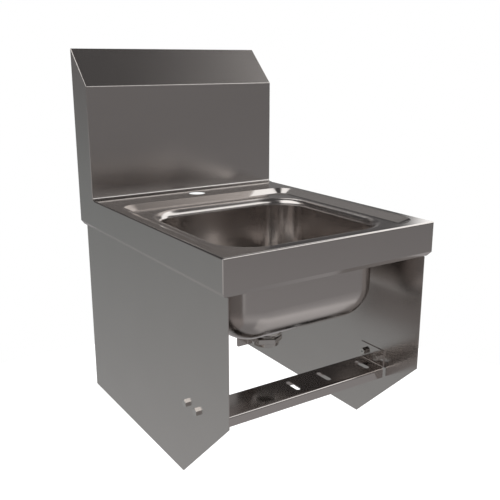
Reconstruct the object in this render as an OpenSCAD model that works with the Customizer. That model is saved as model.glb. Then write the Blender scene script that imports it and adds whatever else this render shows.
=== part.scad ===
// Wall-hung hand wash sink: pressed deck and bowl, boxed splashback, two side
// skirts and a slotted cross rail. Lengths are millimetres, +Z is up, -Y is the
// front. The origin is the middle of the wall bracket's screw line, on the wall.

/* [Deck] */
// Width of the deck over its side aprons
sink_w = 432; // [424:1:500]
// Depth of the deck from the wall to its front apron
sink_d = 581; // [570:1:640]
// Thickness of the deck, bowl, splashback and skirt sheet
sheet = 1.5; // [1:0.1:2]
// Outside radius of the deck's folded edges
edge_r = 3; // [2.5:0.1:5]
// Radius of the two vertical front corners, in plan
corner_r = 3; // [2:0.1:6]
// Height of the vertical apron face
apron_h = 54; // [40:1:70]
// Drop of the slanted return under the apron
return_drop = 8.5; // [5:0.5:14]
// Distance that the return runs inward
return_in = 6.5; // [4:0.5:8]
// Length of each side that the front apron carries round its corners
corner_wrap = 14; // [12:1:20]
// Distance from the recess to the seam between the deck and the faucet ledge
ledge_seam = 3; // [2:0.5:4]

/* [Splashback] */
// Depth of the boxed splashback
splash_d = 74; // [60:1:85]
// Height of the splashback's upright face above the deck
splash_h = 223; // [160:1:260]
// Height gained by its slanted top
splash_rise = 72; // [50:1:90]
// Radius of the cove where the splashback meets the deck
cove_r = 6; // [4:0.5:10]
// Width of the splashback's foot that lies in the deck
cove_foot = 3; // [2:0.5:6]
// Inside radius of the splashback's folds
fold_r = 2; // [1:0.5:4]
// Length of the hanging lip folded down behind the slanted top
lip_h = 34; // [26:1:42]

/* [Pressed recess] */
// Flat strip between the deck's side and the recess
recess_side = 15; // [12:1:18]
// Distance from the wall to the recess
recess_rear = 156; // [150:1:170]
// Flat strip between the deck's front and the recess
recess_front = 19; // [15:1:21]
// Depth of the recess floor below the deck
recess_depth = 8; // [4:0.5:12]
// Width of the recess's sloped wall, in plan
recess_run = 20; // [14:0.5:22]
// Plan radius of the recess's top corners
recess_corner = 40; // [32:1:60]
// Inside radius of the pressed bends
press_r = 2; // [1:0.5:3]

/* [Bowl] */
// Width of the bowl between its walls
bowl_w = 320; // [290:1:324]
// Length of the bowl from rear wall to front wall
bowl_l = 306; // [298:1:310]
// Distance from the wall to the bowl's rear wall
bowl_rear = 217; // [212:1:218]
// Depth of the bowl below the recess floor
bowl_depth = 178.5; // [140:0.5:200]
// Radius of the bowl's upright corners
bowl_corner = 66; // [66:1:70]
// Inside radius between the bowl's walls and its bottom
bowl_bottom_r = 64; // [40:1:65]
// Radius of the rounded rim
rim_r = 14; // [8:0.5:16]
// Flat lip of the rim, up to its weld to the deck
rim_lip = 1.5; // [1:0.5:3]
// Radius of the shallow dish round the drain
dish_r = 74; // [62:1:75]
// Fall of the dish from its edge to the drain seat
dish_fall = 3; // [1:0.5:6]

/* [Faucet hole] */
// Diameter of the faucet hole
faucet_d = 35; // [30:0.5:38]
// Distance from the wall to the faucet hole's centre
faucet_rear = 116; // [110:1:122]

/* [Skirts] */
// Distance from the deck's side to the skirt's outside face
skirt_side = 11.5; // [9:0.5:13]
// Distance from the deck's front to the skirt's front edge
skirt_front = 6.5; // [4:0.5:12]
// Distance from the deck down to the skirt's bottom edge
skirt_drop = 433.5; // [400:0.5:480]
// Height of the slanted cut at the skirt's lower front
skirt_cut_rise = 154; // [110:1:158]
// Depth of that cut, from front to back
skirt_cut_run = 157; // [60:1:160]
// Width of the skirt's flange on the wall
flange_w = 34; // [30:1:50]
// Radius of the flange's lower corner
flange_corner = 5; // [2:0.5:10]
// Distance from the skirt's bottom edge to its lower wall hole
wall_hole_low = 45; // [25:1:80]
// Distance between the upper and the lower wall hole
wall_hole_pitch = 270; // [200:1:290]
// Diameter of the wall holes in the skirts
wall_hole_d = 7; // [5:0.5:9]

/* [Cross rail] */
// Thickness of the rail sheet
rail_sheet = 2; // [1.5:0.1:2.5]
// Distance from the deck down to the top of the rail
rail_drop = 309; // [306:1:318]
// Distance from the skirts' front edges to the rail's front edge
rail_front = 81.5; // [77:0.5:102]
// Width of the rail, from front to back
rail_w = 72; // [71:1:82]
// Height of the rail's two downward flanges
rail_flange = 19; // [12:1:26]
// Inside radius of the rail's bends
rail_bend_r = 2; // [1:0.5:4]
// Height of the end tabs above the rail
tab_h = 34; // [31:1:44]
// Width of the end tabs
tab_w = 68; // [66:1:71]
// Length of the slots in the rail
slot_l = 38; // [20:1:50]
// Width of the slots
slot_w = 10; // [6:0.5:14]
// Distance from the right skirt to the first slot
slot_first = 196; // [183:1:198]
// Distance from the right skirt to the second slot
slot_second = 124; // [93:1:143]
// Distance from the right skirt to the third slot
slot_third = 28; // [25:1:60]

/* [Rail bolts] */
// Thread diameter of the rail's bolts
bolt_d = 8; // [6:0.5:8]
// Distance between the two bolts of a side
bolt_pitch = 37; // [30:1:38]
// Distance from the rail's rear edge to the first bolt
bolt_back = 16; // [14:1:22]
// Height of the bolts above the top of the rail
bolt_rise = 17; // [15:1:21]
// Width of the bolt heads and nuts across their flats
hex_af = 13; // [12:0.5:15]
// Height of a bolt head
head_h = 6; // [5:0.5:9]
// Height of a closed nut
nut_h = 8; // [7:0.5:10]
// Depth of the thread in a closed nut
nut_thread = 6; // [4:0.5:6.5]
// Diameter of the small hole in a nut's closed end
nut_eye_d = 3; // [2:0.5:4]
// Gap between a bolt's tip and the end of the thread in its nut
tip_gap = 1; // [0.5:0.5:2]

/* [Drain] */
// Distance from the bowl's middle forward to the drain's axis
drain_ahead = 7; // [0:1:8]
// Diameter of the drain's flange
drain_flange_d = 86; // [82:1:90]
// Thickness of the drain's flange
drain_flange_t = 2.5; // [2:0.1:3.5]
// Outside diameter of the drain's cup
cup_d = 66; // [62:1:68]
// Wall of the drain's cup
cup_wall = 3; // [2:0.5:4]
// Height of the drain's cup below its flange
cup_h = 42; // [40:1:50]
// Outside radius of the cup's rounded lower edge
cup_round = 10; // [6:0.5:11]
// Outside diameter of the drain's outlet
outlet_d = 48; // [46:0.5:49]
// Wall of the drain's outlet
outlet_wall = 4; // [3:0.5:5]
// Length of the drain's outlet
outlet_h = 14.5; // [14:0.5:18]
// Thickness of the rubber gasket under the bowl
gasket_t = 3; // [2:0.5:4]
// Thickness of the friction washer
friction_t = 1; // [0.5:0.1:2]
// Diameter of the gasket and the friction washer
gasket_d = 84; // [80:1:92]
// Height of the lock nut
lock_nut_h = 9; // [6:0.5:12]
// Width of the lock nut across its flats
lock_nut_af = 84; // [78:1:92]
// Width of the coupling nut across its flats
coupling_af = 54; // [53:0.5:60]
// Height of the coupling nut's hexagon
coupling_h = 9.5; // [8:0.5:10]
// Height of the round neck under that hexagon
neck_h = 7; // [5:0.5:8]
// Diameter of the neck
neck_d = 51; // [50.5:0.5:53]
// Diameter of the hole for the tailpiece
tailpiece_hole_d = 39; // [38.5:0.1:39.5]
// Thickness of the slip washer
slip_t = 2.5; // [2:0.1:3]

/* [Strainer] */
// Diameter of the strainer's rim
strainer_rim_d = 70; // [68:0.5:71]
// Outside diameter of the strainer's basket
strainer_d = 55; // [50:0.5:56]
// Thickness of the strainer's sheet
strainer_sheet = 1; // [0.6:0.1:1.5]
// Depth of the strainer's basket
strainer_h = 30; // [20:1:36]
// Diameter of the strainer's holes
strainer_hole_d = 3; // [2:0.1:4]
// Diameter of the lift knob
knob_d = 16; // [12:0.5:20]
// Diameter of the knob's post
post_d = 7; // [5:0.5:9]
// Height of the knob's middle above the strainer's rim
knob_rise = 10; // [8:1:20]

/* [Wall bracket] */
// Height of the bracket's screw line above the splashback's front fold
bracket_above = 12; // [9:1:15]
// Width of the bracket
bracket_w = 380; // [340:1:400]
// Thickness of the bracket
bracket_sheet = 2; // [1.5:0.1:2.5]
// Distance from the screw line to the bracket's lower edge
bracket_low = 20; // [14:1:30]
// Height of the bracket's upturned hook
hook_h = 16; // [10:1:20]
// Distance between the two screw slots
screw_pitch = 320; // [260:1:330]
// Length of the screw slots
screw_slot_l = 20; // [14:1:30]
// Width of the screw slots
screw_slot_w = 7; // [5:0.5:9]

/* [Hidden] */

// Overrun of every cut past the face that it opens
over = 1;
// Clearance of a round part in its hole
hole_clear = 0.5;
// Clearance of a thread in its nut
thread_clear = 0.1;
// Clearance between pieces that hang or rest near each other
hang_clear = 0.3;
// Flats of a bend that isn't square
bend_steps = 6;
// Segments of a full circle
$fn = 96;

// Levels and places of the deck
bracket_rise = splash_h + bracket_above;
deck_half = sink_w / 2;
apron_low = apron_h + return_drop;
return_turn = atan2(return_in, return_drop);
splash_top = splash_h + splash_rise;
splash_turn = atan2(splash_d, splash_rise);
splash_joint = splash_d + cove_r + cove_foot;
ledge_front = recess_rear - ledge_seam;

// Outlines of the recess and of the bowl, with the middle of each
recess_w = sink_w - 2 * recess_side;
recess_l = sink_d - recess_rear - recess_front;
recess_mid = recess_rear + recess_l / 2;
recess_low_corner = recess_corner - recess_run;
bowl_mid = bowl_rear + bowl_l / 2;
drain_mid = bowl_mid + drain_ahead;
rim_out = rim_r + rim_lip;
bowl_floor = recess_depth + bowl_depth;
seat_r = drain_flange_d / 2 + over;
seat_level = bowl_floor + dish_fall;
rim_low = recess_depth + rim_r;
pan_top = bowl_floor - bowl_bottom_r;

// Places of the skirts
skirt_x = deck_half - skirt_side;
skirt_in = skirt_x - sheet;
skirt_y = sink_d - skirt_front;
skirt_notch = skirt_front + return_in + sheet + over;
skirt_top = sheet;
flange_x = skirt_x - flange_w / 2;

// Places of the rail and its bolts
rail_rear = skirt_y - rail_front - rail_w;
tab_x = skirt_in;
tab_in = tab_x - rail_sheet;
rail_mid = rail_rear + rail_w / 2;
rail_low = rail_drop + rail_flange;
rail_relief = rail_sheet + rail_bend_r + over;
slot_places = [for (s = [slot_first, slot_second, slot_third]) skirt_in - s];
bolt_places = [rail_rear + bolt_back, rail_rear + bolt_back + bolt_pitch];
bolt_level = rail_drop - bolt_rise;
bolt_hole_d = bolt_d + 2 * hole_clear;
bolt_tip = tab_in - nut_thread + tip_gap;
hex_chamfer = hex_af / 20;

// Levels of the drain, below the deck, and the inside radius of its cup
cup_in = cup_d / 2 - cup_wall;
flange_top = seat_level - drain_flange_t;
gasket_level = seat_level + sheet;
friction_level = gasket_level + gasket_t;
lock_nut_level = friction_level + friction_t;
tube_h = cup_h - cup_round - over;
cup_level = seat_level + cup_h;
outlet_level = cup_level + outlet_h;
slip_level = outlet_level + slip_t;
coupling_low = slip_level + sheet;
strainer_seat = strainer_sheet + hang_clear;
strainer_floor = flange_top + strainer_h;
knob_level = flange_top - knob_rise;

// Places of the bracket and the lip that hangs on it
lip_low = splash_top - lip_h;
shelf_level = lip_low - hang_clear - bracket_sheet / 2;
hook_out = bracket_sheet + 2 * (fold_r + hang_clear);
bracket_bend = bracket_sheet / 2 + over;

// Rows of holes in the strainer
strainer_columns = 14;
strainer_rows = 3;
floor_ring_counts = [8, 14];
floor_ring_shares = [0.48, 0.78];

// Turns a vector left by a quarter
function left_of(v) = [-v[1], v[0]];
function unit(v) = v / norm(v);
// Direction of leg i of a path of points
function leg_way(p, i) = unit([p[i + 1][0] - p[i][0], p[i + 1][1] - p[i][1]]);
// Turning angle at point i, and the length that its bend takes from each leg
function turn_at(p, i) = acos(leg_way(p, i - 1) * leg_way(p, i));
function trim_at(p, i) = i == 0 || i == len(p) - 1 ? 0 : p[i][2] * tan(turn_at(p, i) / 2);

// Section of a bent sheet: a path through its mid thickness, each point an
// [x, y, bend radius at mid thickness]
module bent_sheet(p, t) {
    for (i = [0 : len(p) - 2]) {
        way = leg_way(p, i);
        side = left_of(way) * t / 2;
        from = [p[i][0], p[i][1]] + way * trim_at(p, i);
        to = [p[i + 1][0], p[i + 1][1]] - way * trim_at(p, i + 1);
        polygon([from - side, to - side, to + side, from + side]);
    }
    for (i = [1 : len(p) - 2]) {
        hand = sign(cross(leg_way(p, i - 1), leg_way(p, i)));
        r = p[i][2];
        start = -hand * left_of(leg_way(p, i - 1));
        end = -hand * left_of(leg_way(p, i));
        reach = 2 * (r + t);
        centre = [p[i][0], p[i][1]] - leg_way(p, i - 1) * trim_at(p, i) - start * r;
        translate(centre) intersection() {
            difference() {
                circle(r = r + t / 2);
                circle(r = r - t / 2);
            }
            polygon([[0, 0], start * reach, unit(start + end) * reach, end * reach]);
        }
    }
}

// Points along one side of a bent sheet's path: side is 1 on its left and -1 on
// its right
function turned(v, a) = [v[0] * cos(a) - v[1] * sin(a), v[0] * sin(a) + v[1] * cos(a)];
function bend_points(p, i, side, t) =
    let (hand = sign(cross(leg_way(p, i - 1), leg_way(p, i))))
    let (start = -hand * left_of(leg_way(p, i - 1)))
    let (centre = [p[i][0], p[i][1]] - leg_way(p, i - 1) * trim_at(p, i) - start * p[i][2])
    [for (k = [0 : bend_steps])
        centre + turned(start, hand * turn_at(p, i) * k / bend_steps)
            * (p[i][2] - hand * side * t / 2)];
function side_points(p, side, t) = [
    for (i = [0 : len(p) - 1])
        each i == 0 || i == len(p) - 1
            ? [[p[i][0], p[i][1]] + side * left_of(leg_way(p, max(i - 1, 0))) * t / 2]
            : bend_points(p, i, side, t)
];

// The same section as one outline, for bends that aren't square
module bent_outline(p, t) {
    left = side_points(p, 1, t);
    right = side_points(p, -1, t);
    polygon(concat(right, [for (i = [len(left) - 1 : -1 : 0]) left[i]]));
}

// Rectangle with rounded corners, centred
module round_rect(w, d, r) {
    square([w - 2 * r, d], center = true);
    square([w, d - 2 * r], center = true);
    for (x = [-1, 1], y = [-1, 1])
        translate([x * (w / 2 - r), y * (d / 2 - r)]) circle(r = r);
}

// Carries a section round a rounded rectangle. The section's x is counted from
// the centres of the corners, which lie w by d apart.
module round_sweep(w, d) {
    for (k = [0 : 3]) {
        across = k % 2 == 0 ? w / 2 : d / 2;
        along = k % 2 == 0 ? d : w;
        rotate([0, 0, k * 90]) {
            translate([across, 0, 0]) rotate([90, 0, 0])
                linear_extrude(height = along, center = true) children();
            translate([across, along / 2, 0]) rotate_extrude(angle = 90) children();
        }
    }
}

// Slot standing along Z: its ends are round and it runs along X
module slot_cut(l, w, h) {
    linear_extrude(height = h, center = true) {
        square([l - w, w], center = true);
        for (s = [-1, 1]) translate([s * (l - w) / 2, 0]) circle(d = w);
    }
}

// Ring standing on z = 0
module ring(d_out, d_in, h) {
    difference() {
        cylinder(d = d_out, h = h);
        translate([0, 0, -over]) cylinder(d = d_in, h = h + 2 * over);
    }
}

// Hexagonal prism on z = 0 with chamfered corners at its top
module hexagon(af, h, chamfer) {
    across = af / cos(30);
    intersection() {
        cylinder(d = across, h = h, $fn = 6);
        union() {
            cylinder(d = across + over, h = h - chamfer);
            translate([0, 0, h - chamfer])
                cylinder(d1 = across, d2 = across - 4 * chamfer, h = chamfer);
        }
    }
}

// Brings a piece drawn from the deck's level to the model's origin
module at_deck() {
    translate([0, 0, -bracket_rise]) children();
}

// Turns an X-Z section so that it runs along Y from y = 0 to the front
module along_y(length) {
    rotate([90, 0, 0]) linear_extrude(height = length) children();
}

// Turns a Y-Z section so that it runs along X, centred
module along_x(length) {
    rotate([90, 0, 90]) linear_extrude(height = length, center = true) children();
}

// Cross section of the deck, its aprons and their returns, as a filled shape
// down to below, made smaller all round by inset
module deck_width_section(inset, below) {
    half = deck_half - inset;
    r = edge_r - inset;
    fold = apron_h - inset * tan(return_turn / 2);
    slant = tan(return_turn);
    polygon([
        [half, -edge_r], [-half, -edge_r], [-half, -fold],
        [-half + slant * (below - fold), -below],
        [half - slant * (below - fold), -below], [half, -fold]
    ]);
    translate([-half + r, -edge_r]) square([2 * (half - r), r]);
    for (s = [-1, 1]) translate([s * (half - r), -edge_r]) circle(r = r);
}

// The same shape seen from the side, open towards the wall by back
module deck_depth_section(inset, below, back) {
    front = inset - sink_d;
    r = edge_r - inset;
    fold = apron_h - inset * tan(return_turn / 2);
    slant = tan(return_turn);
    polygon([
        [back, -edge_r], [front, -edge_r], [front, -fold],
        [front + slant * (below - fold), -below], [back, -below]
    ]);
    translate([front + r, -edge_r]) square([back - front - r, r]);
    translate([front + r, -edge_r]) circle(r = r);
}

// Filled shape of the deck with its mitred aprons
module deck_block(inset, below, back) {
    intersection() {
        translate([0, back, 0]) along_y(sink_d + back) deck_width_section(inset, below);
        along_x(sink_w) deck_depth_section(inset, below, back);
        translate([0, 0, -below]) linear_extrude(height = below)
            translate([0, (corner_r - sink_d + 2 * back + corner_r) / 2])
                round_rect(sink_w - 2 * inset, sink_d - 2 * inset + 2 * corner_r, corner_r);
    }
}

// Section of the recess's pressed wall, from the deck down to its floor
module recess_section() {
    mid = sheet / 2;
    bend = press_r + mid;
    bent_outline([
        [recess_corner + over, -mid, 0],
        [recess_corner, -mid, bend],
        [recess_low_corner, -recess_depth - mid, bend],
        [recess_low_corner - 2 * over, -recess_depth - mid, 0]
    ], sheet);
}

// The whole top before it is shared out: flat deck, aprons with mitred returns,
// pressed recess, faucet hole
module top_sheet() {
    floor_w = recess_w - 2 * recess_run;
    floor_l = recess_l - 2 * recess_run;
    difference() {
        union() {
            difference() {
                deck_block(0, apron_low, 0);
                deck_block(sheet, apron_low + over, over);
                translate([-deck_half + sheet, -splash_joint, -sheet - over])
                    cube([sink_w - 2 * sheet, splash_joint + over, sheet + 2 * over]);
                translate([0, -recess_mid, -recess_depth])
                    linear_extrude(height = recess_depth + over)
                        round_rect(recess_w, recess_l, recess_corner);
            }
            for (s = [-1, 1]) translate([s * (deck_half - sheet / 2), -splash_joint / 2, -edge_r])
                cube([sheet, splash_joint, 2 * edge_r], center = true);
            translate([0, -recess_mid, 0])
                round_sweep(recess_w - 2 * recess_corner, recess_l - 2 * recess_corner)
                    recess_section();
            translate([0, -recess_mid, -recess_depth - sheet]) linear_extrude(height = sheet)
                round_rect(floor_w - 2 * over, floor_l - 2 * over, recess_low_corner - over);
        }
        translate([0, -bowl_mid, -recess_depth - sheet - over])
            linear_extrude(height = sheet + 2 * over)
                round_rect(bowl_w + 2 * rim_out, bowl_l + 2 * rim_out, bowl_corner + rim_out);
        translate([0, -faucet_rear, -sheet - over])
            cylinder(d = faucet_d, h = sheet + 2 * over);
    }
}

// Space that holds the flat of the top from one distance off the wall to
// another, above the folds of its aprons
module flat_zone(from, to) {
    inner = sink_w - 2 * edge_r;
    inner_to = min(to, sink_d - edge_r);
    translate([-deck_half - over, -to, -edge_r])
        cube([sink_w + 2 * over, to - from, edge_r + over]);
    translate([-inner / 2, -inner_to, -edge_r - recess_depth - over])
        cube([inner, inner_to - from, edge_r + recess_depth + over]);
}

// Deck: front part of the flat, with the pressed recess
module deck() {
    color([0.62, 0.61, 0.6]) at_deck() intersection() {
        top_sheet();
        flat_zone(ledge_front, sink_d + over);
    }
}

// Faucet ledge: the strip between the splashback and the recess
module faucet_ledge() {
    color([0.6, 0.59, 0.58]) at_deck() intersection() {
        top_sheet();
        flat_zone(splash_joint, ledge_front);
    }
}

// Aprons: the folded sides of the top, shared out by a block
module apron(block_corner, block_size) {
    color([0.57, 0.56, 0.55]) at_deck() intersection() {
        difference() {
            top_sheet();
            flat_zone(splash_joint, sink_d + over);
        }
        translate(block_corner) cube(block_size);
    }
}

module apron_front() {
    apron([-sink_w, -sink_d - over, -sink_d], [2 * sink_w, corner_wrap + over, 2 * sink_d]);
}

module apron_left() {
    apron([-sink_w, corner_wrap - sink_d, -sink_d], [sink_w, sink_d, 2 * sink_d]);
}

module apron_right() {
    apron([0, corner_wrap - sink_d, -sink_d], [sink_w, sink_d, 2 * sink_d]);
}

// Section of the bowl's rounded rim, wall and bottom radius
module bowl_section() {
    mid = sheet / 2;
    bent_sheet([
        [bowl_corner + rim_out, -recess_depth - mid, 0],
        [bowl_corner + mid, -recess_depth - mid, rim_r - mid],
        [bowl_corner + mid, -bowl_floor - mid, bowl_bottom_r + mid],
        [0, -bowl_floor - mid, 0]
    ], sheet);
}

// Section of the dish that falls to the drain seat
module dish_section() {
    mid = sheet / 2;
    bend = press_r + mid;
    bent_outline([
        [dish_r + 2 * over, -bowl_floor - mid, 0],
        [dish_r, -bowl_floor - mid, bend],
        [seat_r, -seat_level - mid, bend],
        [cup_d / 2 + hole_clear, -seat_level - mid, 0]
    ], sheet);
}

// The whole drawn bowl before it is shared out, welded to the recess at its rim
module bowl_sheet() {
    core_w = bowl_w - 2 * bowl_corner;
    core_l = bowl_l - 2 * bowl_corner;
    translate([0, -bowl_mid, 0]) round_sweep(core_w, core_l) bowl_section();
    translate([0, -drain_mid, 0]) {
        difference() {
            translate([-core_w / 2, drain_ahead - core_l / 2, -bowl_floor - sheet])
                cube([core_w, core_l, sheet]);
            translate([0, 0, -bowl_floor - sheet - over])
                cylinder(r = dish_r + over, h = sheet + 2 * over);
        }
        rotate_extrude() dish_section();
    }
}

// Share of the bowl from one level below the deck down to another
module bowl_share(from, to) {
    color([0.55, 0.54, 0.53]) at_deck() intersection() {
        bowl_sheet();
        translate([-sink_w / 2, -sink_d, -to]) cube([sink_w, sink_d, to - from]);
    }
}

// Rounded rim of the bowl
module bowl_rim() {
    bowl_share(0, rim_low);
}

// Upright walls of the bowl
module bowl() {
    bowl_share(rim_low, pan_top);
}

// Bottom of the bowl: wide radius, flat and drain dish
module bowl_pan() {
    bowl_share(pan_top, seat_level + 2 * sheet);
}

// Splashback: foot in the deck, cove, upright face, slanted top, hanging lip
module splashback() {
    mid = sheet / 2;
    fold_bend = fold_r + mid;
    color([0.52, 0.51, 0.5]) at_deck() along_x(sink_w - 2 * sheet) bent_outline([
        [-splash_joint, -mid, 0],
        [-splash_d + mid, -mid, cove_r + mid],
        [-splash_d + mid, splash_h - mid * tan(splash_turn / 2), fold_bend],
        [-mid, splash_top - mid * (tan(splash_turn / 2) + splash_rise / splash_d), fold_bend],
        [-mid, lip_low, 0]
    ], sheet);
}

// End plate that closes the splashback box, seen from the side
module end_plate(side) {
    color([0.6, 0.59, 0.58]) at_deck() translate([side * (deck_half - sheet / 2), 0, 0])
        along_x(sheet) polygon([[-splash_d, 0], [0, 0], [0, splash_top], [-splash_d, splash_h]]);
}

module end_plate_left() {
    end_plate(-1);
}

module end_plate_right() {
    end_plate(1);
}

// Outline of a skirt from the side, with its slanted lower front and the notch
// that clears the apron's return
module skirt_outline() {
    notch_y = skirt_y + skirt_front - skirt_notch;
    polygon([
        [over, -skirt_top], [-notch_y, -skirt_top], [-notch_y, -apron_low - over],
        [-skirt_y, -apron_low - over], [-skirt_y, skirt_cut_rise - skirt_drop],
        [skirt_cut_run - skirt_y, -skirt_drop], [over, -skirt_drop]
    ]);
}

// Skirt: side panel with a flange along the wall, right-hand
module skirt() {
    mid = sheet / 2;
    height = skirt_drop - skirt_top;
    color([0.58, 0.57, 0.56]) at_deck() difference() {
        intersection() {
            translate([0, 0, -skirt_drop]) linear_extrude(height = height) bent_sheet([
                [skirt_x - mid, -skirt_y, 0],
                [skirt_x - mid, -mid, fold_r + mid],
                [skirt_x - flange_w, -mid, 0]
            ], sheet);
            along_x(sink_w) skirt_outline();
        }
        translate([skirt_x - flange_w, 0, -skirt_drop]) rotate([90, 0, 0])
            linear_extrude(height = 4 * sheet, center = true) difference() {
                square(2 * flange_corner, center = true);
                translate([flange_corner, flange_corner]) circle(r = flange_corner);
            }
        for (k = [0, 1])
            translate([flange_x, 0, wall_hole_low + k * wall_hole_pitch - skirt_drop])
                rotate([90, 0, 0]) cylinder(d = wall_hole_d, h = 4 * sheet, center = true);
        for (y = bolt_places) translate([skirt_x, -y, -bolt_level]) rotate([0, 90, 0])
            cylinder(d = bolt_hole_d, h = 4 * sheet, center = true);
    }
}

module skirt_right() {
    skirt();
}

module skirt_left() {
    mirror([1, 0, 0]) skirt();
}

// Cross rail: inverted channel, its web folded up at both ends into bolted tabs
module cross_rail() {
    mid = rail_sheet / 2;
    bend = rail_bend_r + mid;
    web = -rail_drop - mid;
    tab_top = tab_h - rail_drop;
    color([0.5, 0.49, 0.48]) at_deck() difference() {
        union() {
            along_x(2 * (tab_x - rail_relief)) bent_sheet([
                [-rail_rear - mid, -rail_low, 0],
                [-rail_rear - mid, web, bend],
                [-rail_rear - rail_w + mid, web, bend],
                [-rail_rear - rail_w + mid, -rail_low, 0]
            ], rail_sheet);
            translate([0, -rail_rear - bend - mid, 0]) along_y(tab_w - bend - mid) bent_sheet([
                [-tab_x + mid, tab_top, 0],
                [-tab_x + mid, web, bend],
                [tab_x - mid, web, bend],
                [tab_x - mid, tab_top, 0]
            ], rail_sheet);
        }
        for (x = slot_places) translate([x, -rail_mid, -rail_drop]) rotate([0, 0, 90])
            slot_cut(slot_l, slot_w, 4 * rail_sheet);
        for (y = bolt_places) translate([0, -y, -bolt_level]) rotate([0, 90, 0])
            cylinder(d = bolt_hole_d, h = sink_w, center = true);
    }
}

// Places a fastener at each bolt of one side, its own z pointing outward
module at_bolts(side, x) {
    at_deck() for (y = bolt_places) translate([side * x, -y, -bolt_level])
        rotate([0, side * 90, 0]) children();
}

// Hexagon bolt whose head seats at z = 0 and whose shank runs down from it
module rail_bolt() {
    hexagon(hex_af, head_h, hex_chamfer);
    translate([0, 0, bolt_tip - skirt_x]) cylinder(d = bolt_d, h = skirt_x - bolt_tip);
}

module rail_bolts_left() {
    color([0.66, 0.65, 0.63]) at_bolts(-1, skirt_x) rail_bolt();
}

module rail_bolts_right() {
    color([0.66, 0.65, 0.63]) at_bolts(1, skirt_x) rail_bolt();
}

// Closed nut that seats at z = 0 and stands down from it, a small eye in its end
module rail_nut() {
    mirror([0, 0, 1]) difference() {
        hexagon(hex_af, nut_h, hex_chamfer);
        translate([0, 0, -over])
            cylinder(d = bolt_d + 2 * thread_clear, h = nut_thread + over);
        cylinder(d = nut_eye_d, h = nut_h + over);
    }
}

module rail_nuts_left() {
    color([0.64, 0.63, 0.61]) at_bolts(-1, tab_in) rail_nut();
}

module rail_nuts_right() {
    color([0.64, 0.63, 0.61]) at_bolts(1, tab_in) rail_nut();
}

// Wall bracket: plate with screw slots, folded forward and up into a hook
module wall_bracket() {
    mid = bracket_sheet / 2;
    color([0.45, 0.46, 0.48]) at_deck() difference() {
        along_x(bracket_w) bent_sheet([
            [-mid, bracket_rise - bracket_low, 0],
            [-mid, shelf_level, bracket_bend],
            [-mid - hook_out, shelf_level, bracket_bend],
            [-mid - hook_out, shelf_level + hook_h, 0]
        ], bracket_sheet);
        for (s = [-1, 1]) translate([s * screw_pitch / 2, 0, bracket_rise])
            rotate([90, 0, 0]) slot_cut(screw_slot_l, screw_slot_w, 4 * bracket_sheet);
    }
}

// Brings a piece drawn from the deck's level to the drain's axis
module at_drain(level) {
    at_deck() translate([0, -drain_mid, -level]) children();
}

// Drain body: flange in the bowl and the cup's tube through its floor
module drain_body() {
    rim_d_out = strainer_rim_d + 2 * hole_clear;
    color([0.68, 0.67, 0.65]) at_drain(seat_level + tube_h) difference() {
        union() {
            cylinder(d = cup_d, h = tube_h);
            translate([0, 0, tube_h]) cylinder(d = drain_flange_d, h = drain_flange_t);
        }
        translate([0, 0, -over]) cylinder(r = cup_in, h = tube_h + drain_flange_t + 2 * over);
        translate([0, 0, tube_h + drain_flange_t - strainer_seat])
            cylinder(d = rim_d_out, h = strainer_seat + over);
    }
}

// Drain outlet: the cup's rounded floor, with its threaded pipe
module drain_outlet() {
    mid = cup_wall / 2;
    bore_r = outlet_d / 2 - outlet_wall;
    color([0.66, 0.65, 0.62]) at_drain(outlet_level) difference() {
        union() {
            cylinder(d = outlet_d, h = outlet_h + over);
            translate([0, 0, outlet_h]) rotate_extrude() bent_sheet([
                [cup_in + mid, cup_round + over, 0],
                [cup_in + mid, mid, cup_round - mid],
                [bore_r, mid, 0]
            ], cup_wall);
        }
        translate([0, 0, -over]) cylinder(r = bore_r, h = outlet_h + cup_wall + 2 * over);
    }
}

module drain_gasket() {
    color([0.12, 0.12, 0.12]) at_drain(friction_level)
        ring(gasket_d, cup_d + 2 * hole_clear, gasket_t);
}

module friction_washer() {
    color([0.75, 0.72, 0.6]) at_drain(lock_nut_level)
        ring(gasket_d, cup_d + 2 * hole_clear, friction_t);
}

module lock_nut() {
    color([0.7, 0.68, 0.62]) at_drain(lock_nut_level) mirror([0, 0, 1]) difference() {
        hexagon(lock_nut_af, lock_nut_h, lock_nut_h / 8);
        translate([0, 0, -over])
            cylinder(d = cup_d + 2 * thread_clear, h = lock_nut_h + 2 * over);
    }
}

// Coupling nut: hexagon over a round neck, and a floor that holds the slip washer
module coupling_nut() {
    color([0.66, 0.64, 0.6]) at_drain(coupling_low) difference() {
        union() {
            translate([0, 0, neck_h]) rotate(30)
                hexagon(coupling_af, coupling_h, coupling_h / 16);
            cylinder(d = neck_d, h = neck_h);
        }
        translate([0, 0, -over]) cylinder(d = tailpiece_hole_d, h = sheet + 2 * over);
        translate([0, 0, sheet])
            cylinder(d = outlet_d + 2 * thread_clear, h = neck_h + coupling_h);
    }
}

module slip_washer() {
    color([0.9, 0.9, 0.88]) at_drain(slip_level)
        ring(outlet_d - hole_clear, tailpiece_hole_d, slip_t);
}

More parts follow.
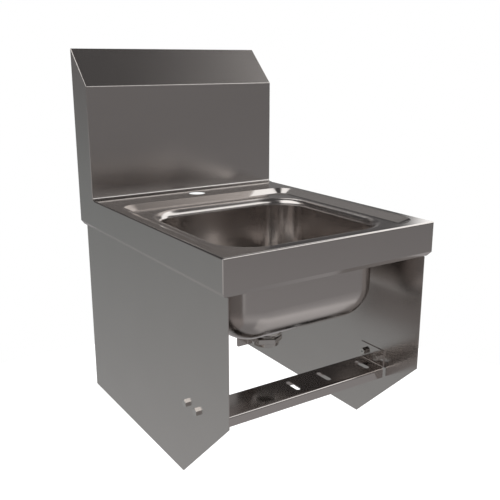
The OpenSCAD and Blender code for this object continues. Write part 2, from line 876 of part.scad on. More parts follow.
// Strainer: perforated basket that lifts out of the drain
module strainer_basket() {
    t = strainer_sheet;
    r = strainer_d / 2;
    floor_z = t / 2 - strainer_h;
    bend = 2 * t;
    row_step = (strainer_h - 4 * t) / (strainer_rows + 1);
    color([0.72, 0.71, 0.7]) at_drain(flange_top) difference() {
        rotate_extrude() bent_sheet([
            [strainer_rim_d / 2, -t / 2, 0],
            [r - t / 2, -t / 2, bend],
            [r - t / 2, floor_z, bend],
            [post_d / 2, floor_z, 0]
        ], t);
        for (row = [1 : strainer_rows], k = [0 : strainer_columns - 1])
            rotate([0, 0, 360 * (k + row / 2) / strainer_columns])
                translate([r, 0, -2 * t - row * row_step]) rotate([0, 90, 0])
                    cylinder(d = strainer_hole_d, h = 4 * t, center = true, $fn = 24);
        for (ring_no = [0, 1], k = [0 : floor_ring_counts[ring_no] - 1])
            rotate([0, 0, 360 * k / floor_ring_counts[ring_no]])
                translate([floor_ring_shares[ring_no] * r, 0, floor_z])
                    cylinder(d = strainer_hole_d, h = 4 * t, center = true, $fn = 24);
    }
}

// Lift knob: post riveted through the strainer's floor, with a round grip
module strainer_knob() {
    post_r = post_d / 2;
    stem = strainer_floor - knob_level;
    color([0.7, 0.69, 0.67]) at_drain(strainer_floor) {
        cylinder(r = post_r - thread_clear, h = stem);
        translate([0, 0, strainer_sheet]) cylinder(r = 2 * post_r, h = strainer_sheet);
        translate([0, 0, stem]) sphere(d = knob_d);
    }
}

deck();
faucet_ledge();
apron_front();
apron_left();
apron_right();
bowl_rim();
bowl();
bowl_pan();
splashback();
end_plate_left();
end_plate_right();
skirt_left();
skirt_right();
cross_rail();
rail_bolts_left();
rail_bolts_right();
rail_nuts_left();
rail_nuts_right();
wall_bracket();
drain_body();
drain_outlet();
drain_gasket();
friction_washer();
lock_nut();
coupling_nut();
slip_washer();
strainer_basket();
strainer_knob();
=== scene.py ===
"""Finish, small details and studio of a wall-hung hand wash sink."""

import math

import bmesh
import bpy
from bpy.props import FloatProperty, FloatVectorProperty, PointerProperty
from mathutils import Matrix, Vector


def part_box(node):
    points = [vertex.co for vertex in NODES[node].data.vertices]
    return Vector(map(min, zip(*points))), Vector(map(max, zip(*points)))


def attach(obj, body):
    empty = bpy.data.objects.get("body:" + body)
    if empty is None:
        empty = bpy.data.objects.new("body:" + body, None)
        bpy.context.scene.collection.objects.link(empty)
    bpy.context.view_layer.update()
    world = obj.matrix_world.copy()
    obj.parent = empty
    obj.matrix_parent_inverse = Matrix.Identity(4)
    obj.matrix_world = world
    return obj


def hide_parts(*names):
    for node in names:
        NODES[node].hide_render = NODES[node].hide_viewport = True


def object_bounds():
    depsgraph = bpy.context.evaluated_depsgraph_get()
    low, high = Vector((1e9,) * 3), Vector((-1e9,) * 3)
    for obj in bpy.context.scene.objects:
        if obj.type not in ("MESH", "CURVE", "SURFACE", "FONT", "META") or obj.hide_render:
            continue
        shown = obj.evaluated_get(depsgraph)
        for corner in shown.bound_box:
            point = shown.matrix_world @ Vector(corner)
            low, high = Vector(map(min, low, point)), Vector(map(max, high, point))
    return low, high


bl_info = {
    "name": "Hand Wash Sink",
    "version": (1, 0, 0),
    "blender": (4, 5, 0),
    "location": "3D View > Sidebar > Sink",
    "description": "Finishes a wall-hung hand wash sink and sets it in a studio",
    "category": "Object",
}

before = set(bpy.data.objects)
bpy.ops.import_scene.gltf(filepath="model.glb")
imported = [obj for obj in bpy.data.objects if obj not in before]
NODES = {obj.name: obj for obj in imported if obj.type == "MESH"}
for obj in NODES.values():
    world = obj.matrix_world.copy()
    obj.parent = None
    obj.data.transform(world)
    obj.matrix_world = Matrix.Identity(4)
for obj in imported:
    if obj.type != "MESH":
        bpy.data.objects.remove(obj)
CAD_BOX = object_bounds()
MM = 0.001

# Which way the brushing runs on each sheet piece
GRAIN_ALONG = {
    "deck": "x",
    "faucet_ledge": "x",
    "apron_front": "x",
    "apron_left": "y",
    "apron_right": "y",
    "splashback": "x",
    "end_plate_left": "y",
    "end_plate_right": "y",
    "cross_rail": "x",
    "skirt_left": "y",
    "skirt_right": "y",
}
# Sheet pieces with the duller finish
DULL_WALLS = ("splashback", "end_plate_left", "end_plate_right", "skirt_left", "skirt_right")
# Sheet pieces shown as copies with worked edges
DRESSED = ("apron_front", "splashback", "end_plate_left", "end_plate_right")

# Shares of the streaks and of the wiped marks in a metal's tint and in its blur
TINT_SHARES = (0.6, 0.4)
BLUR_SHARES = (0.04, 0.02)
# How dark the darkest tint of metal, zinc and moulded pieces is
METAL_DARK = 0.96
ZINC_DARK = 0.72
MOULDED_DARK = 0.85
# Strength of the bumps in metal and in moulded pieces
METAL_BUMP = 0.6
MOULDED_BUMP = 0.3
# Depth of the bumps in moulded pieces, and roughness that their marks add
MOULDED_DEPTH = 0.05 * MM
MOULDED_BLUR = 0.12
# Streaks per metre along each axis, where nothing else is asked for
STREAKS = (25.0, 2000.0, 2000.0)
# Wiped marks per metre on sheet, on turned fittings and on moulded pieces
SHEET_MARKS = 9.0
FITTING_MARKS = 40.0
MOULDED_MARKS = 60.0
# Least and most noise that the wiped marks spread over
MARKS_RANGE = (0.35, 0.68)
# Zinc's flakes per metre, its least roughness and how much the flakes add
ZINC_FLAKES = 110.0
ZINC_ROUGHNESS = (0.34, 0.18)

# Corners of a CAD mesh that lie closer than this are one
JOIN_DISTANCE = 0.01 * MM
# Faces that turn by less than this are one flat face
FLAT_TURN = math.radians(0.5)
# Edges that turn by less than this are always smooth
FAINT_TURN = math.radians(0.6)
# Edges that turn by more than this are sharp
SHARP_TURN = math.radians(30.0)
# A face this many times larger than its neighbour keeps its own normal
WIDE_FACE = 8.0
# Slack in finding the splashback's back and the two arcs of its top fold
BACK_SLACK = 0.02 * MM
ARC_SLACK = 0.05 * MM
# Least part of the slanted face's normal that points to the front, and up
SLANT_NORMAL = 0.4
# Height of the bolt heads' lowest rounded edges over the skirts
HEAD_CLEARANCE = 0.2 * MM
# Share of a closed nut's length whose edges are rounded, from its inner end
NUT_LENGTH_SHARE = 0.9
# Share of a drain nut's half width beyond which its edges are rounded
NUT_WIDTH_SHARE = 0.84

# Key lamp: size, heading and height in degrees, and distance from the deck
KEY_SIZE = (1.2, 0.9)
KEY_HEADING = (128.0, 38.0)
KEY_DISTANCE = 2.2
# Width of the camera's sensor in millimetres
SENSOR_WIDTH = 36.0
# The floor's grey, and the light that it adds for the camera alone
FLOOR_GREY = 0.9
FLOOR_GLOW = 0.35
FLOOR_CORNERS = 96

# Tints of the light
NEUTRAL = (1.0, 1.005, 1.0)
WARM = (1.0, 0.985, 0.97)
PLAIN = (1.0, 1.0, 1.0)
COOL = (0.6, 1.0, 0.98)
# Panels of light that only reflections see. Headings run clockwise from the
# wall's normal and heights from the horizon, in degrees: from, to, low, high,
# softness of the sides and the foot, softness of the top, brightness and tint.
LIGHT_PANELS = {
    "right_bank": (47.0, 100.0, 2.0, 50.0, 3.0, 3.0, 1.5, NEUTRAL),
    "right_glow": (60.0, 110.0, 40.0, 60.0, 12.0, 12.0, 0.2, WARM),
    "right_low": (30.0, 45.0, 4.0, 12.0, 4.0, 4.0, 0.12, WARM),
    "rear_bank": (2.0, 34.0, 45.0, 60.0, 4.0, 4.0, 1.5, NEUTRAL),
    "rear_low": (8.0, 42.0, 24.0, 43.0, 6.0, 6.0, 0.2, WARM),
    "key_bank": (100.0, 150.0, 21.0, 46.5, 4.0, 14.0, 1.5, NEUTRAL),
    "front_bank": (150.0, 179.0, 27.0, 46.5, 8.0, 14.0, 1.5, NEUTRAL),
    "left_top": (-136.0, -56.0, 27.0, 78.0, 5.0, 5.0, 1.7, NEUTRAL),
    "front_band": (140.0, 178.0, 3.0, 17.0, 4.0, 4.0, 0.16, WARM),
    "left_front": (-140.0, -68.0, -20.0, 14.0, 8.0, 8.0, 0.28, PLAIN),
    "front_floor": (92.0, 175.0, -72.0, -38.0, 8.0, 8.0, 0.2, WARM),
    "left_wall": (-80.0, -4.0, -70.0, -4.0, 12.0, 12.0, 0.05, COOL),
}
# Brightness of the studio's walls by the sine of the height above the horizon
STUDIO_WALLS = (
    (-1.0, 0.27),
    (-0.84, 0.28),
    (-0.68, 0.45),
    (-0.5, 0.385),
    (-0.28, 0.27),
    (-0.1, 0.19),
    (0.0, 0.175),
    (0.1, 0.175),
    (0.21, 0.09),
    (0.42, 0.06),
    (0.87, 0.08),
)
WALL_TINT = (1.0, 0.975, 0.985)


def length_property(name, description, default):
    """A length in metres."""
    return FloatProperty(
        name=name, description=description, subtype="DISTANCE", unit="LENGTH", default=default
    )


def angle_property(name, description, degrees):
    """An angle, given in degrees."""
    return FloatProperty(
        name=name,
        description=description,
        subtype="ANGLE",
        unit="ROTATION",
        default=math.radians(degrees),
    )


def share_property(name, description, default):
    """A number from nought to one."""
    return FloatProperty(
        name=name, description=description, subtype="FACTOR", min=0.0, max=1.0, default=default
    )


def colour_property(name, description, default):
    """A colour of three channels."""
    return FloatVectorProperty(
        name=name, description=description, subtype="COLOR", min=0.0, max=1.0, default=default
    )


class SinkSteel(bpy.types.PropertyGroup):
    """Finish of the sheet metal"""

    colour: colour_property("Colour", "Reflected colour of the satin sheet", (0.56, 0.525, 0.505))
    roughness: share_property("Roughness", "Blur of the satin sheet's reflections", 0.13)
    wall_roughness: share_property(
        "Wall Roughness", "Blur of the reflections in the splashback and the skirts", 0.21
    )
    bowl_roughness: share_property("Bowl Roughness", "Blur of the drawn bowl's reflections", 0.2)
    grain_width: length_property("Grain Width", "Width of the brushed streaks", 0.5 * MM)
    grain_length: length_property("Grain Length", "Length of the brushed streaks", 40 * MM)
    grain_depth: length_property("Grain Depth", "Depth of the brushed streaks", 0.0005 * MM)


class SinkFittings(bpy.types.PropertyGroup):
    """Finish and small sizes of the fittings"""

    bright_colour: colour_property(
        "Bright Colour", "Reflected colour of the bolts and the drain", (0.6, 0.575, 0.55)
    )
    edge_round: length_property(
        "Edge Round", "Radius ground on the outer edges of the end plates", 1.4 * MM
    )
    top_fold: length_property(
        "Top Fold", "Outside radius that the splashback's top fold is pressed down to", 0.9 * MM
    )
    fold_round: length_property(
        "Fold Round", "Radius dressed on the welded corners of the front apron", 1.2 * MM
    )
    bolt_round: length_property(
        "Bolt Round", "Radius on the edges of the rail's bolt heads and nuts", 0.5 * MM
    )
    nut_round: length_property(
        "Nut Round", "Radius on the outer edges of the drain's nuts", 0.8 * MM
    )


class SinkStudio(bpy.types.PropertyGroup):
    """Camera, floor and light"""

    camera_place: FloatVectorProperty(
        name="Camera Place",
        description="Where the camera stands",
        subtype="TRANSLATION",
        unit="LENGTH",
        default=(-0.7063, -1.4014, 0.038),
    )
    azimuth: angle_property(
        "Azimuth", "Heading of the view, clockwise from the wall's normal", 33.19
    )
    elevation: angle_property("Elevation", "Angle that the camera looks down by", 15.25)
    focal_length: FloatProperty(
        name="Focal Length",
        description="Focal length on a 36 mm sensor",
        subtype="DISTANCE_CAMERA",
        unit="CAMERA",
        default=50.28,
    )
    floor_drop: length_property("Floor Drop", "Distance from the deck down to the floor", 0.86)
    floor_radius: length_property("Floor Radius", "Radius of the round floor", 1.5)
    key_power: FloatProperty(
        name="Key Power",
        description="Power of the soft key lamp",
        subtype="POWER",
        unit="POWER",
        default=6.0,
    )


def heading(azimuth, elevation):
    """Unit vector of a heading from +Y towards +X and a height over the horizon, in degrees."""
    a, e = math.radians(azimuth), math.radians(elevation)
    return Vector((math.sin(a) * math.cos(e), math.cos(a) * math.cos(e), math.sin(e)))


def connect(tree, socket, value):
    """Links an input to a socket, or else sets it to a value."""
    if isinstance(value, bpy.types.NodeSocket):
        tree.links.new(value, socket)
    else:
        socket.default_value = value


def feed(tree, node, **sockets):
    """Sets or links a node's inputs by name."""
    for name, value in sockets.items():
        connect(tree, node.inputs[name.replace("_", " ")], value)


def add_node(tree, kind, settings=None, **sockets):
    """A new node in tree with its settings made, and then its inputs set or linked."""
    node = tree.nodes.new(kind)
    for name, value in (settings or {}).items():
        setattr(node, name, value)
    feed(tree, node, **sockets)
    return node


def maths(tree, operation, *values, kind="ShaderNodeMath"):
    """A maths node's output for the given numbers or sockets."""
    node = add_node(tree, kind, {"operation": operation})
    for socket, value in zip(node.inputs, values):
        connect(tree, socket, value)
    return node.outputs[0]


def weighed(tree, first, second, shares):
    """The sum of two sockets, each times its share."""
    return maths(
        tree,
        "ADD",
        maths(tree, "MULTIPLY", first, shares[0]),
        maths(tree, "MULTIPLY", second, shares[1]),
    )


def soft_step(tree, angle, place, soft):
    """A soft step of an angle at a place in degrees; it falls where soft is below zero."""
    step = add_node(
        tree,
        "ShaderNodeMapRange",
        {"interpolation_type": "SMOOTHSTEP"},
        Value=angle,
        From_Min=math.radians(place - abs(soft) / 2),
        From_Max=math.radians(place + abs(soft) / 2),
        To_Min=1.0 if soft < 0 else 0.0,
        To_Max=0.0 if soft < 0 else 1.0,
    )
    return step.outputs["Result"]


def scaled_colour(colour, factor):
    """A colour times a factor, as four channels."""
    return (*(channel * factor for channel in colour), 1.0)


def mix_colours(tree, factor, first, second, blend="MIX"):
    """The output of a mix of two colours."""
    settings = {"data_type": "RGBA", "blend_type": blend}
    mix = add_node(tree, "ShaderNodeMix", settings, Factor=factor, A=first, B=second)
    return mix.outputs["Result"]


def new_group(name, inputs, output):
    """A node group with named sockets, its input node, and the socket that its result goes to."""
    group = bpy.data.node_groups.new(name, "ShaderNodeTree")
    for title, kind, default in inputs:
        socket = group.interface.new_socket(name=title, in_out="INPUT", socket_type=kind)
        socket.default_value = default
    group.interface.new_socket(name=output, in_out="OUTPUT", socket_type="NodeSocketFloat")
    source = group.nodes.new("NodeGroupInput")
    return group, source, group.nodes.new("NodeGroupOutput").inputs[output]


def brushed_grain_group():
    """Fine streaks: Stretch gives the streaks per metre along each axis."""
    name = "Brushed Grain"
    if name in bpy.data.node_groups:
        return bpy.data.node_groups[name]
    group, source, result = new_group(
        name,
        (
            ("Vector", "NodeSocketVector", (0.0, 0.0, 0.0)),
            ("Stretch", "NodeSocketVector", STREAKS),
        ),
        "Streaks",
    )
    place, stretch = source.outputs["Vector"], source.outputs["Stretch"]
    spread = maths(group, "MULTIPLY", place, stretch, kind="ShaderNodeVectorMath")
    noise = add_node(group, "ShaderNodeTexNoise", Vector=spread, Scale=1.0, Detail=3.0)
    connect(group, result, noise.outputs["Fac"])
    return group


def wiped_marks_group():
    """Broad, faint cloudiness that wiping and handling leave on satin metal."""
    name = "Wiped Marks"
    if name in bpy.data.node_groups:
        return bpy.data.node_groups[name]
    group, source, result = new_group(
        name,
        (
            ("Vector", "NodeSocketVector", (0.0, 0.0, 0.0)),
            ("Scale", "NodeSocketFloat", SHEET_MARKS),
        ),
        "Marks",
    )
    noise = add_node(
        group,
        "ShaderNodeTexNoise",
        Vector=source.outputs["Vector"],
        Scale=source.outputs["Scale"],
        Detail=4.0,
        Distortion=0.8,
    )
    least, most = MARKS_RANGE
    spread = add_node(
        group, "ShaderNodeMapRange", Value=noise.outputs["Fac"], From_Min=least, From_Max=most
    )
    connect(group, result, spread.outputs["Result"])
    return group


def use_group(tree, group, **sockets):
    """The output of a node group placed in tree with its inputs set or linked."""
    return add_node(tree, "ShaderNodeGroup", {"node_tree": group}, **sockets).outputs[0]


def empty_material(name, colour):
    """A material with one Principled shader; returns it, its tree, the shader and coordinates."""
    material = bpy.data.materials.new(name)
    material.use_nodes = True
    material.diffuse_color = (*colour, 1.0)
    tree = material.node_tree
    tree.nodes.clear()
    shader = tree.nodes.new("ShaderNodeBsdfPrincipled")
    add_node(tree, "ShaderNodeOutputMaterial", Surface=shader.outputs["BSDF"])
    place = tree.nodes.new("ShaderNodeTexCoord").outputs["Object"]
    return material, tree, shader, place


def bumped(tree, height, strength, distance):
    """The normal of a bumped surface."""
    bump = add_node(tree, "ShaderNodeBump", Height=height, Strength=strength, Distance=distance)
    return bump.outputs["Normal"]


def metal(name, colour, roughness, stretch, depth, marks_scale=SHEET_MARKS):
    """Metal with streaks and wiped marks in its colour, blur and surface."""
    if name in bpy.data.materials:
        return bpy.data.materials[name]
    material, tree, shader, place = empty_material(name, colour)
    streaks = use_group(tree, brushed_grain_group(), Vector=place, Stretch=stretch)
    marks = use_group(tree, wiped_marks_group(), Vector=place, Scale=marks_scale)
    tint = weighed(tree, streaks, marks, TINT_SHARES)
    light, dark = scaled_colour(colour, 1.0), scaled_colour(colour, METAL_DARK)
    blur = weighed(tree, streaks, marks, BLUR_SHARES)
    feed(
        tree,
        shader,
        Base_Color=mix_colours(tree, tint, light, dark),
        # Streaks and marks add half of their shares on average
        Roughness=maths(tree, "ADD", blur, roughness - sum(BLUR_SHARES) / 2),
        Normal=bumped(tree, streaks, METAL_BUMP, depth),
        Metallic=1.0,
    )
    return material


def sheet_metal(node):
    """Satin sheet with its streaks along one axis; the upright walls are a little duller."""
    steel = bpy.context.scene.sink_steel
    along = GRAIN_ALONG[node]
    across, length = 1.0 / steel.grain_width, 1.0 / steel.grain_length
    stretch = tuple(length if axis == along else across for axis in "xyz")
    name, blur = "Satin Sheet", steel.roughness
    if node in DULL_WALLS:
        name, blur = "Satin Wall", steel.wall_roughness
    return metal(f"{name} {along.upper()}", tuple(steel.colour), blur, stretch, steel.grain_depth)


def drawn_metal():
    """Bowl metal: polished after drawing, so its fine grain has no direction."""
    steel = bpy.context.scene.sink_steel
    stretch = (0.5 / steel.grain_width,) * 3
    depth = 0.02 * steel.grain_depth
    return metal("Drawn Bowl", tuple(steel.colour), steel.bowl_roughness, stretch, depth)


def bright_metal():
    """Turned fittings: brighter, with fine rings left by the lathe."""
    return metal(
        "Bright Fittings",
        tuple(bpy.context.scene.sink_fittings.bright_colour),
        roughness=0.2,
        stretch=(300.0, 300.0, 2500.0),
        depth=0.005 * MM,
        marks_scale=FITTING_MARKS,
    )


def zinc():
    """Galvanised bracket with its crystal flakes."""
    name, colour = "Galvanised Zinc", (0.5, 0.51, 0.52)
    if name in bpy.data.materials:
        return bpy.data.materials[name]
    material, tree, shader, place = empty_material(name, colour)
    flakes = add_node(tree, "ShaderNodeTexVoronoi", Vector=place, Scale=ZINC_FLAKES)
    tone = add_node(tree, "ShaderNodeSeparateColor", Color=flakes.outputs["Color"])
    light, dark = scaled_colour(colour, 1.0), scaled_colour(colour, ZINC_DARK)
    least, added = ZINC_ROUGHNESS
    feed(
        tree,
        shader,
        Base_Color=mix_colours(tree, tone.outputs["Red"], light, dark),
        Roughness=maths(tree, "MULTIPLY_ADD", tone.outputs["Green"], added, least),
        Metallic=1.0,
    )
    return material


def moulded(name, colour, roughness, grains):
    """Rubber or plastic with a fine texture, of so many grains per metre."""
    if name in bpy.data.materials:
        return bpy.data.materials[name]
    material, tree, shader, place = empty_material(name, colour)
    marks = use_group(tree, wiped_marks_group(), Vector=place, Scale=MOULDED_MARKS)
    light, dark = scaled_colour(colour, 1.0), scaled_colour(colour, MOULDED_DARK)
    noise = add_node(tree, "ShaderNodeTexNoise", Vector=place, Scale=grains, Detail=2.0)
    feed(
        tree,
        shader,
        Base_Color=mix_colours(tree, marks, light, dark),
        Roughness=maths(tree, "MULTIPLY_ADD", marks, MOULDED_BLUR, roughness),
        Normal=bumped(tree, noise.outputs["Fac"], MOULDED_BUMP, MOULDED_DEPTH),
    )
    return material


def paint(obj, material):
    """Gives every face of obj one material."""
    obj.data.materials.clear()
    obj.data.materials.append(material)


def finish_nodes(nodes, material):
    """Paints CAD nodes."""
    for node in nodes:
        paint(NODES[node], material)


def new_object(name, data):
    """A new object in the scene."""
    obj = bpy.data.objects.new(name, data)
    bpy.context.scene.collection.objects.link(obj)
    return obj


def new_mesh(name, bm):
    """A mesh made from a bmesh, which is freed."""
    mesh = bpy.data.meshes.new(name)
    bm.to_mesh(mesh)
    bm.free()
    return mesh


def keep_piece(bm, node, ending, material):
    """Turns a bmesh into the finished piece that takes a CAD node's place on the sink."""
    for face in bm.faces:
        face.smooth = True
    for seam in bm.edges:
        if len(seam.link_faces) != 2:
            continue
        turn = seam.calc_face_angle(0.0)
        small, large = sorted(face.calc_area() for face in seam.link_faces)
        # A wide flat face keeps its own normal beside the narrow faces of a rounding
        seam.smooth = turn < FAINT_TURN or (turn < SHARP_TURN and large < WIDE_FACE * small)
    name = f"{node}_{ending}"
    piece = new_object(name, new_mesh(name, bm))
    paint(piece, material)
    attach(piece, "sink")
    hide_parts(node)


def merged_copy(node):
    """A bmesh of a CAD node with its loose triangles joined into flat faces."""
    bm = bmesh.new()
    bm.from_mesh(NODES[node].data)
    bmesh.ops.remove_doubles(bm, verts=bm.verts, dist=JOIN_DISTANCE)
    bmesh.ops.dissolve_limit(bm, angle_limit=FLAT_TURN, verts=bm.verts, edges=bm.edges)
    return bm


def sharp_edges(bm, wanted):
    """Sharp edges whose middle satisfies wanted."""
    return [
        e
        for e in bm.edges
        if len(e.link_faces) == 2
        and e.calc_face_angle(0.0) > SHARP_TURN
        and wanted((e.verts[0].co + e.verts[1].co) / 2)
    ]


def round_edges(bm, edges, radius, segments=4):
    """Rounds the given edges."""
    bmesh.ops.bevel(
        bm,
        geom=edges,
        offset=radius,
        offset_type="OFFSET",
        segments=segments,
        profile=0.5,
        affect="EDGES",
        clamp_overlap=True,
        material=-1,
    )


def profile(vert):
    """A vertex's Y and Z, its place in the profile of a sheet that runs along X."""
    return Vector((vert.co.y, vert.co.z))


def press_fold(bm, back, new_radius):
    """Presses the bend between the slanted face and the back to a smaller outside radius."""
    slant = max(
        (f for f in bm.faces if f.normal.y < -SLANT_NORMAL and f.normal.z > SLANT_NORMAL),
        key=lambda f: f.calc_area(),
    )
    normal, point = slant.normal, slant.verts[0].co
    # The corner where both faces would meet, and the bend's own centre and radius
    top = point.z - normal.y * (back - point.y) / normal.z
    corner = Vector((back, top))
    tangent = top - max(v.co.z for v in bm.verts if back - v.co.y < BACK_SLACK)
    inwards = (Vector((-normal.z, normal.y)) + Vector((0.0, -1.0))).normalized()
    half = math.acos(-inwards.y)
    radius = tangent * math.tan(half)
    centre = corner + inwards * (radius / math.sin(half))
    reaches = [profile(v) - centre for v in bm.verts]
    inner_radius = min(reach.length for reach in reaches if reach.dot(-inwards) > 0.0)
    inner_corner = centre - inwards * (inner_radius / math.sin(half))
    for vert in bm.verts:
        reach = profile(vert) - centre
        if reach.dot(-inwards) < math.sin(half) * reach.length - BACK_SLACK:
            continue
        for bend, tip in ((radius, corner), (inner_radius, inner_corner)):
            if abs(reach.length - bend) < ARC_SLACK:
                vert.co.y, vert.co.z = tip + (profile(vert) - tip) * (new_radius / radius)
                break


class SINK_OT_sheet(bpy.types.Operator):
    """Finishes the deck, bowl, aprons, skirts, rail and bracket"""

    bl_idname = "sink.sheet"
    bl_label = "Sheet Metal"

    def execute(self, context):
        for node in GRAIN_ALONG:
            if node not in DRESSED:
                finish_nodes((node,), sheet_metal(node))
        finish_nodes(("bowl_rim", "bowl", "bowl_pan"), drawn_metal())
        finish_nodes(("wall_bracket",), zinc())
        return {"FINISHED"}


class SINK_OT_end_plates(bpy.types.Operator):
    """Makes the splashback's end plates with ground outer edges"""

    bl_idname = "sink.end_plates"
    bl_label = "End Plates"

    def execute(self, context):
        radius = context.scene.sink_fittings.edge_round
        for side in ("left", "right"):
            node = f"end_plate_{side}"
            low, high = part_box(node)
            outside = low.x if side == "left" else high.x
            base, rear = low.z + radius, high.y - radius
            bm = merged_copy(node)
            outer = sharp_edges(
                bm, lambda p: abs(p.x - outside) < radius / 2 and p.z > base and p.y < rear
            )
            round_edges(bm, outer, radius)
            keep_piece(bm, node, "ground", sheet_metal(node))
        return {"FINISHED"}


class SINK_OT_splash_top(bpy.types.Operator):
    """Makes the splashback with its top fold pressed sharp"""

    bl_idname = "sink.splash_top"
    bl_label = "Splashback Top"

    def execute(self, context):
        bm = merged_copy("splashback")
        press_fold(bm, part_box("splashback")[1].y, context.scene.sink_fittings.top_fold)
        keep_piece(bm, "splashback", "pressed", sheet_metal("splashback"))
        return {"FINISHED"}


class SINK_OT_front_apron(bpy.types.Operator):
    """Makes the front apron with dressed corners"""

    bl_idname = "sink.front_apron"
    bl_label = "Front Apron"

    def execute(self, context):
        radius = context.scene.sink_fittings.fold_round
        low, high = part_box("apron_front")
        near = 0.1 * radius
        bm = merged_copy("apron_front")
        corners = sharp_edges(bm, lambda p: high.x - abs(p.x) < near and p.y - low.y < near)
        round_edges(bm, corners, radius)
        keep_piece(bm, "apron_front", "dressed", sheet_metal("apron_front"))
        return {"FINISHED"}


class SINK_OT_fasteners(bpy.types.Operator):
    """Makes the rail's bolts and closed nuts with softened edges"""

    bl_idname = "sink.fasteners"
    bl_label = "Fasteners"

    def execute(self, context):
        for side in ("left", "right"):
            # The bolts' heads stand outside the skirt
            skirt_face = max(abs(corner.x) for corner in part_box(f"skirt_{side}"))
            head = skirt_face + HEAD_CLEARANCE
            self.soften(context, f"rail_bolts_{side}", lambda p: abs(p.x) > head)
            # The nuts' closed ends point inwards
            low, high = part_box(f"rail_nuts_{side}")
            seat = min(abs(low.x), abs(high.x)) + NUT_LENGTH_SHARE * (high.x - low.x)
            self.soften(context, f"rail_nuts_{side}", lambda p: abs(p.x) < seat)
        return {"FINISHED"}

    def soften(self, context, node, wanted):
        """Rounds the wanted edges of bolts or nuts."""
        bm = merged_copy(node)
        radius = context.scene.sink_fittings.bolt_round
        round_edges(bm, sharp_edges(bm, wanted), radius, segments=3)
        keep_piece(bm, node, "softened", bright_metal())


class SINK_OT_drain(bpy.types.Operator):
    """Finishes the drain's fittings and softens the edges of its nuts"""

    bl_idname = "sink.drain"
    bl_label = "Drain"

    def execute(self, context):
        finish_nodes(("drain_body", "drain_outlet"), bright_metal())
        radius = context.scene.sink_fittings.nut_round
        for node in ("lock_nut", "coupling_nut"):
            low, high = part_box(node)
            middle = (low + high) / 2
            reach = NUT_WIDTH_SHARE * (high.x - low.x) / 2
            bm = merged_copy(node)
            outer = sharp_edges(bm, lambda p: (p.xy - middle.xy).length > reach)
            round_edges(bm, outer, radius, segments=3)
            keep_piece(bm, node, "softened", bright_metal())
        rubber = moulded("Black Rubber", (0.03, 0.03, 0.03), roughness=0.6, grains=900.0)
        finish_nodes(("drain_gasket",), rubber)
        plastic = moulded("Pale Plastic", (0.78, 0.77, 0.73), roughness=0.42, grains=700.0)
        finish_nodes(("friction_washer", "slip_washer"), plastic)
        return {"FINISHED"}


class SINK_OT_strainer(bpy.types.Operator):
    """Finishes the lift-out strainer and its knob"""

    bl_idname = "sink.strainer"
    bl_label = "Strainer"

    def execute(self, context):
        finish_nodes(("strainer_basket", "strainer_knob"), bright_metal())
        return {"FINISHED"}


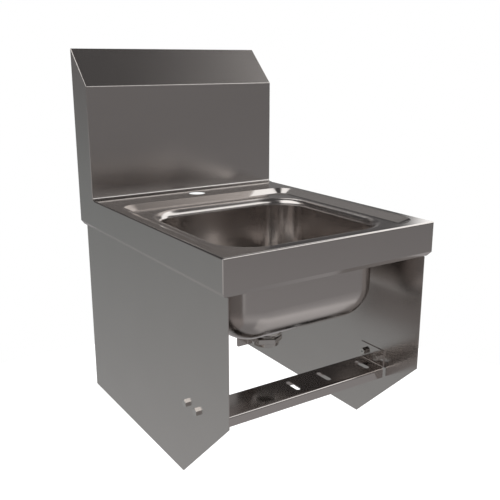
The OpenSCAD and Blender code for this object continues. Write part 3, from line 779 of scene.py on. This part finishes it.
class SINK_OT_stage(bpy.types.Operator):
    """Sets the camera, the pale floor, the lamp and the studio round the sink"""

    bl_idname = "sink.stage"
    bl_label = "Studio"

    def execute(self, context):
        studio = context.scene.sink_studio
        self.make_camera(context, studio)
        self.make_floor(studio)
        self.make_key(studio)
        self.make_world(context)
        context.scene.view_settings.view_transform = "Standard"
        return {"FINISHED"}

    def make_camera(self, context, studio):
        """Places the camera and makes it the scene's own."""
        lens = bpy.data.cameras.new("Camera")
        lens.sensor_width = SENSOR_WIDTH
        lens.lens = studio.focal_length
        camera = new_object("Camera", lens)
        look = heading(math.degrees(studio.azimuth), -math.degrees(studio.elevation))
        camera.location = studio.camera_place
        camera.rotation_euler = look.to_track_quat("-Z", "Y").to_euler()
        context.scene.camera = camera

    def make_floor(self, studio):
        """Makes a pale round floor that the steel doesn't reflect."""
        middle = (CAD_BOX[0] + CAD_BOX[1]) / 2
        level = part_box("deck")[1].z - studio.floor_drop
        bm = bmesh.new()
        bmesh.ops.create_circle(
            bm,
            cap_ends=True,
            radius=studio.floor_radius,
            segments=FLOOR_CORNERS,
            matrix=Matrix.Translation((middle.x, middle.y, level)),
        )
        floor = new_object("Floor", new_mesh("Floor", bm))
        material = bpy.data.materials.new("Pale Floor")
        material.use_nodes = True
        tree = material.node_tree
        tree.nodes.clear()
        grey = (FLOOR_GREY, FLOOR_GREY, FLOOR_GREY, 1.0)
        diffuse = add_node(tree, "ShaderNodeBsdfDiffuse", Color=grey)
        seen = tree.nodes.new("ShaderNodeLightPath").outputs["Is Camera Ray"]
        glow = add_node(
            tree, "ShaderNodeEmission", Strength=maths(tree, "MULTIPLY", seen, FLOOR_GLOW)
        )
        both = tree.nodes.new("ShaderNodeAddShader")
        connect(tree, both.inputs[0], diffuse.outputs["BSDF"])
        connect(tree, both.inputs[1], glow.outputs["Emission"])
        add_node(tree, "ShaderNodeOutputMaterial", Surface=both.outputs["Shader"])
        paint(floor, material)
        floor.visible_glossy = False

    def make_key(self, studio):
        """Hangs a soft lamp that the steel doesn't reflect."""
        lamp = bpy.data.lights.new("Key", "AREA")
        lamp.energy = studio.key_power
        lamp.shape = "RECTANGLE"
        lamp.size, lamp.size_y = KEY_SIZE
        key = new_object("Key", lamp)
        towards = heading(*KEY_HEADING)
        key.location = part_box("deck")[1] + KEY_DISTANCE * towards
        key.rotation_euler = (-towards).to_track_quat("-Z", "Y").to_euler()
        key.visible_glossy = False

    def make_world(self, context):
        """Makes a white surrounding in which reflections see walls and panels of light."""
        world = bpy.data.worlds.new("Studio")
        context.scene.world = world
        world.use_nodes = True
        tree = world.node_tree
        tree.nodes.clear()
        way = tree.nodes.new("ShaderNodeTexCoord").outputs["Generated"]
        x, y, z = add_node(tree, "ShaderNodeSeparateXYZ", Vector=way).outputs
        seen = self.add_walls(tree, z)
        across = maths(tree, "ARCTAN2", x, y)
        height = maths(tree, "ARCSINE", z)
        for panel in LIGHT_PANELS.values():
            seen = self.add_panel(tree, seen, across, height, panel)
        reflected = tree.nodes.new("ShaderNodeLightPath").outputs["Is Glossy Ray"]
        colour = mix_colours(tree, reflected, scaled_colour(PLAIN, 1.0), seen)
        sky = add_node(tree, "ShaderNodeBackground", Color=colour, Strength=1.0)
        add_node(tree, "ShaderNodeOutputWorld", Surface=sky.outputs["Background"])

    def add_walls(self, tree, sine):
        """The walls' colour by the sine of the height."""
        walls = add_node(
            tree, "ShaderNodeValToRGB", Fac=maths(tree, "MULTIPLY_ADD", sine, 0.5, 0.5)
        )
        stops = walls.color_ramp.elements
        for index, (height, level) in enumerate(STUDIO_WALLS):
            place = height / 2 + 0.5
            # A new ramp has two stops already
            stop = stops[index] if index < 2 else stops.new(place)
            stop.position = place
            stop.color = scaled_colour(WALL_TINT, level)
        return walls.outputs["Color"]

    def add_panel(self, tree, seen, across, height, panel):
        """The colour seen, with a panel of light added."""
        start, end, low, high, soft, fade, strength, tint = panel
        sides = maths(
            tree,
            "MULTIPLY",
            soft_step(tree, across, start, soft),
            soft_step(tree, across, end, -soft),
        )
        ends = maths(
            tree,
            "MULTIPLY",
            soft_step(tree, height, low, soft),
            soft_step(tree, height, high, -fade),
        )
        mask = maths(tree, "MULTIPLY", sides, ends)
        return mix_colours(tree, mask, seen, scaled_colour(tint, strength), "ADD")


class SINK_PT_panel(bpy.types.Panel):
    """Lists the sink's settings and operators"""

    bl_idname = "SINK_PT_panel"
    bl_label = "Hand Wash Sink"
    bl_space_type = "VIEW_3D"
    bl_region_type = "UI"
    bl_category = "Sink"

    def draw(self, context):
        scene = context.scene
        rounds = ("edge_round", "top_fold", "fold_round", "bolt_round", "nut_round")
        for group, names in (
            (scene.sink_steel, ("colour", "roughness", "wall_roughness", "bowl_roughness")),
            (scene.sink_fittings, ("bright_colour", *rounds)),
            (scene.sink_studio, ("focal_length", "floor_drop", "key_power")),
        ):
            for name in names:
                self.layout.prop(group, name)
        for operator in OPERATORS:
            self.layout.operator(operator.bl_idname)


OPERATORS = (
    SINK_OT_sheet,
    SINK_OT_end_plates,
    SINK_OT_splash_top,
    SINK_OT_front_apron,
    SINK_OT_fasteners,
    SINK_OT_drain,
    SINK_OT_strainer,
    SINK_OT_stage,
)
CLASSES = (SinkSteel, SinkFittings, SinkStudio, *OPERATORS, SINK_PT_panel)


def register():
    for cls in CLASSES:
        bpy.utils.register_class(cls)
    bpy.types.Scene.sink_steel = PointerProperty(type=SinkSteel)
    bpy.types.Scene.sink_fittings = PointerProperty(type=SinkFittings)
    bpy.types.Scene.sink_studio = PointerProperty(type=SinkStudio)


def unregister():
    del bpy.types.Scene.sink_studio
    del bpy.types.Scene.sink_fittings
    del bpy.types.Scene.sink_steel
    for cls in reversed(CLASSES):
        bpy.utils.unregister_class(cls)


def main():
    register()
    bpy.ops.sink.stage()
    bpy.ops.sink.sheet()
    bpy.ops.sink.end_plates()
    bpy.ops.sink.splash_top()
    bpy.ops.sink.front_apron()
    bpy.ops.sink.fasteners()
    bpy.ops.sink.drain()
    bpy.ops.sink.strainer()


if __name__ == "__main__":
    main()
